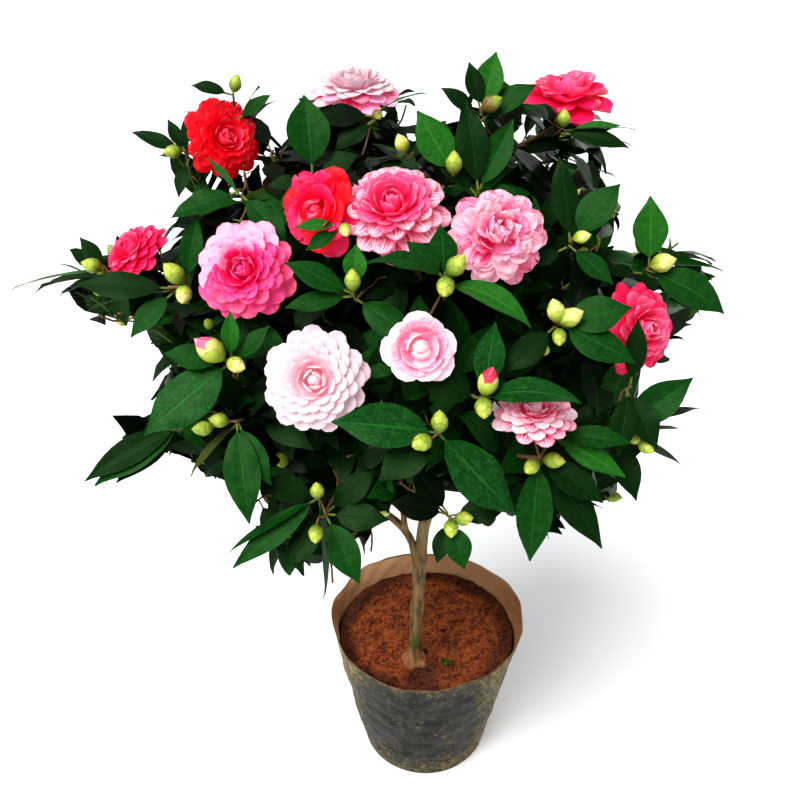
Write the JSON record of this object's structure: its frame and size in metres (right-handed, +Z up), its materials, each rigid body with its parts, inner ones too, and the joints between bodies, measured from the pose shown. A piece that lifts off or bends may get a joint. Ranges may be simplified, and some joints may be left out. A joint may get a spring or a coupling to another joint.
{
  "type": "potted camellia shrub",
  "caption": "Flowering camellia shrub with a short slender trunk and a wide rounded leafy crown, standing in a soft tapered nursery pot of soil.",
  "frame": {"origin": "centre of the pot's flat underside, on the ground", "axes": "+Z up, +X to the right and -Y towards the side that faces the viewer"},
  "size_m": [0.7004, 0.5217, 0.9279],
  "materials": {
    "pot_plastic": "thin black plastic, scuffed and dusted with dried reddish mud",
    "soil": "reddish brown crumbly garden soil, dry on top",
    "bark": "smooth grey-tan bark with a green mossy patch near the foot",
    "foliage": "glossy dark green leaves with scarlet, pink, striped and blush-white double blooms and yellow-green buds"
  },
  "bodies": {
    "root": {"pot": "pot_plastic", "soil": "soil", "trunk": "bark", "left_stem": "bark", "left_bough": "bark", "front_bough": "bark", "right_bough": "bark", "leader": "bark", "top_left_bough": "bark", "top_right_bough": "bark", "back_bough": "bark", "back_left_bough": "bark", "back_right_bough": "bark", "foliage_top_left": "foliage", "foliage_top_front": "foliage", "foliage_top_back": "foliage", "foliage_top_right": "foliage", "foliage_shoulder_right": "foliage", "foliage_left": "foliage", "foliage_front_left": "foliage", "foliage_front_centre": "foliage", "foliage_front_right": "foliage", "foliage_right": "foliage", "foliage_back_right": "foliage", "foliage_back_centre": "foliage", "foliage_back_left": "foliage", "foliage_low_left": "foliage", "foliage_low_front": "foliage", "foliage_low_right": "foliage", "foliage_low_back_right": "foliage", "foliage_low_back_left": "foliage"}
  },
  "joints": []
}
